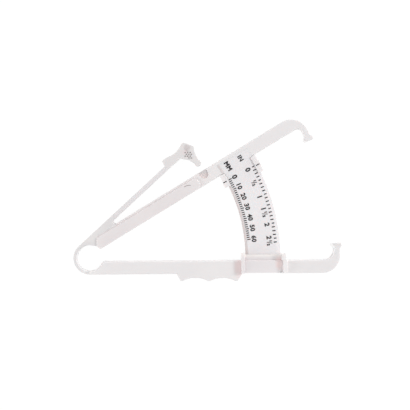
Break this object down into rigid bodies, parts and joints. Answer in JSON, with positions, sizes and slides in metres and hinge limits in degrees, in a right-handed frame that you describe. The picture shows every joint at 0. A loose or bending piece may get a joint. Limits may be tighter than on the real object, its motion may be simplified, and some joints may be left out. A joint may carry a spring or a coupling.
{
  "type": "skinfold caliper",
  "caption": "Moulded plastic caliper with two sprung arms, a curved scale plate with an index rider, a thumb lever and small padded jaws.",
  "frame": {"origin": "centre of the bounding box, on the plane that both arms' backs lie on", "axes": "+X along the lower arm from the spring loop to the jaw, +Y from the lower arm to the upper arm, +Z out of the scale's face"},
  "size_m": [0.1665, 0.1, 0.0104],
  "materials": {
    "arm_plastic": "satin off-white moulding",
    "scale_plastic": "satin off-white with a printed scale",
    "rider_plastic": "satin off-white moulding"
  },
  "bodies": {
    "lower": {"lower_arm": "arm_plastic", "scale_guide": "arm_plastic", "loop_spring": "arm_plastic"},
    "upper": {"arm_root": "arm_plastic", "upper_arm": "arm_plastic", "scale_arc": "scale_plastic", "lever_leaf": "arm_plastic"},
    "rider": {"index_rider": "rider_plastic"},
    "lever": {"thumb_head": "arm_plastic"}
  },
  "joints": [
    {"name": "jaw_close", "type": "hinge", "parent": "lower", "child": "upper", "pos_m": [-0.07845, -0.0355, 0.004], "axis": [0, 0, -1], "range_deg": [0, 23.8], "stiffness_Nm_per_rad": 0.3, "deforming": ["loop_spring"]},
    {"name": "rider_carry", "type": "hinge", "parent": "lower", "child": "rider", "pos_m": [-0.07845, -0.0355, 0.004], "axis": [0, 0, -1], "range_deg": [0, 23.8]},
    {"name": "press_lever", "type": "hinge", "parent": "upper", "child": "lever", "pos_m": [-0.05897, -0.01047, 0.004], "axis": [0, 0, -1], "range_deg": [0, 7.3], "stiffness_Nm_per_rad": 0.5, "deforming": ["lever_leaf"]}
  ],
  "couplings": [
    {"joint": "rider_carry", "follows": "jaw_close", "ratio": 1}
  ]
}
